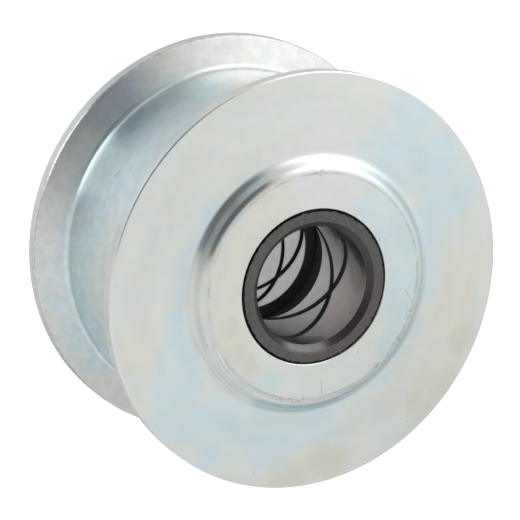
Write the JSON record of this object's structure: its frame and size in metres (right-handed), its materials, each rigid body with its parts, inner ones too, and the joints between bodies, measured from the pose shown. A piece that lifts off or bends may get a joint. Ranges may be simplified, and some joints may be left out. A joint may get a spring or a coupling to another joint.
{
  "type": "chain sheave",
  "caption": "Flanged chain sheave: a turned, zinc-plated steel drum between two flanges with raised hubs, running on a pin through grease-grooved steel bushes.",
  "frame": {"origin": "centre of the rear hub's face, which the sheave stands on", "axes": "+Z along the turning axis from the rear hub to the front hub; +X lies a little to one side of where the grease grooves of the front bush cross"},
  "size_m": [0.113, 0.113, 0.063],
  "materials": {
    "zinc_plated_steel": "fine turned, zinc plated and clear passivated, satin",
    "phosphated_steel": "dark phosphated and oiled, with a ground bore"
  },
  "bodies": {
    "root": {"sheave_body": "zinc_plated_steel", "front_bush": "phosphated_steel", "rear_bush": "phosphated_steel"}
  },
  "joints": []
}
